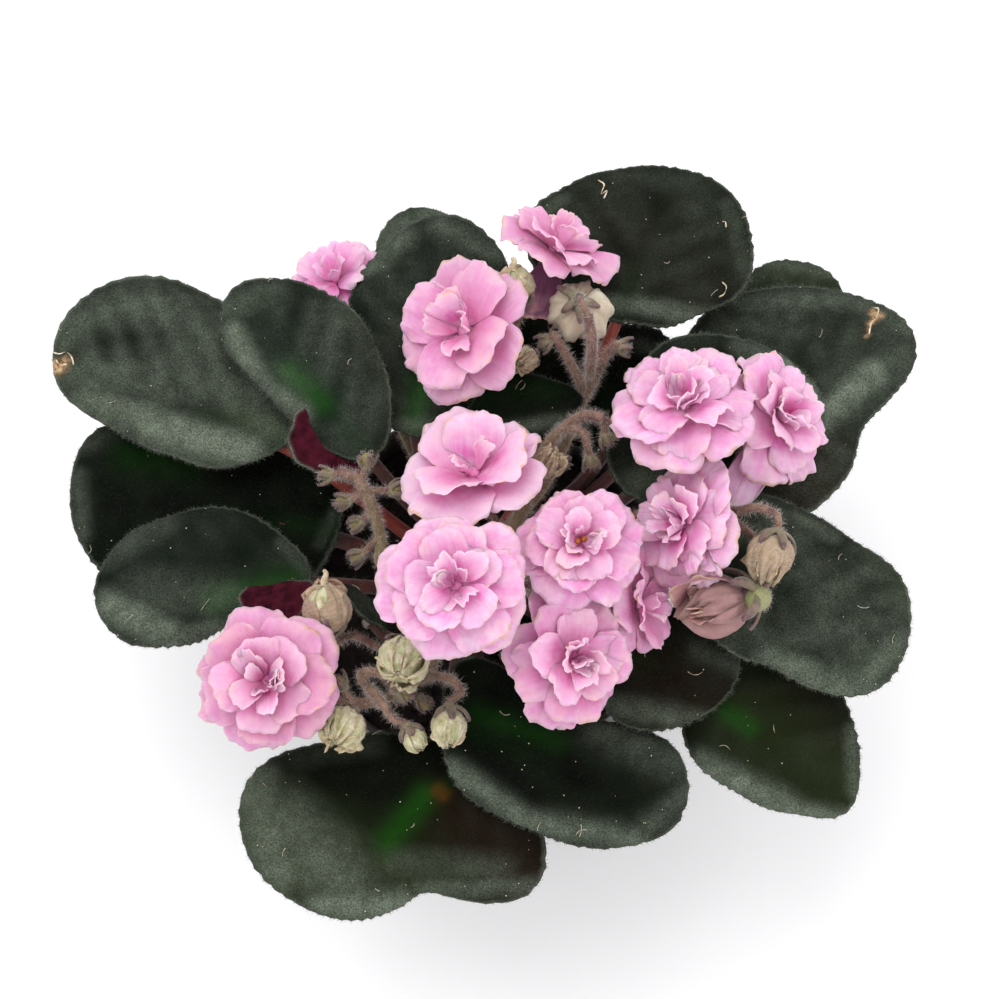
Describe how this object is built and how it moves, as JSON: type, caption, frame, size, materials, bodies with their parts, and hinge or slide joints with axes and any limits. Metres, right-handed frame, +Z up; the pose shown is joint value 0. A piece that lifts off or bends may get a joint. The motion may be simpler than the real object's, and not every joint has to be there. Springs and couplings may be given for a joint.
{
  "type": "potted african violet",
  "caption": "Potted African violet: a low rosette of velvety round leaves with double pink flowers and buds on hairy stalks, in a tapered round pot.",
  "frame": {"origin": "middle of the pot's flat base", "axes": "+Z up out of the pot, -Y to the front of the plant as pictured, +X to its right"},
  "size_m": [0.22, 0.1888, 0.159],
  "materials": {
    "pot": "satin",
    "soil": "matte",
    "crown": "matte",
    "leaf": "matte",
    "flower_stalk": "matte",
    "bud": "matte",
    "pink_petal": "matte",
    "mauve_petal": "matte",
    "wilted_petal": "matte"
  },
  "bodies": {
    "root": {"pot": "pot", "soil": "soil", "crown": "crown", "leaf_01": "leaf", "leaf_02": "leaf", "leaf_03": "leaf", "leaf_04": "leaf", "leaf_05": "leaf", "leaf_06": "leaf", "leaf_07": "leaf", "leaf_08": "leaf", "leaf_09": "leaf", "leaf_10": "leaf", "leaf_11": "leaf", "leaf_12": "leaf", "leaf_13": "leaf", "leaf_14": "leaf", "leaf_15": "leaf", "leaf_16": "leaf", "leaf_17": "leaf", "leaf_18": "leaf", "bloom_01": "pink_petal", "bloom_02": "pink_petal", "bloom_03": "pink_petal", "bloom_04": "pink_petal", "bloom_05": "pink_petal", "bloom_06": "pink_petal", "bloom_07": "pink_petal", "bloom_08": "pink_petal", "bloom_09": "pink_petal", "bloom_10": "pink_petal", "bloom_11": "pink_petal", "bloom_12": "pink_petal", "bloom_13": "mauve_petal", "bloom_14": "wilted_petal", "bud_01": "bud", "bud_02": "bud", "bud_03": "bud", "bud_04": "bud", "bud_05": "bud", "bud_06": "bud", "bud_07": "bud", "bud_08": "bud", "bud_09": "bud", "bud_10": "bud", "stalk_01": "flower_stalk", "stalk_02": "flower_stalk", "stalk_03": "flower_stalk", "stalk_04": "flower_stalk", "stalk_05": "flower_stalk", "stalk_06": "flower_stalk", "stalk_07": "flower_stalk"}
  },
  "joints": []
}
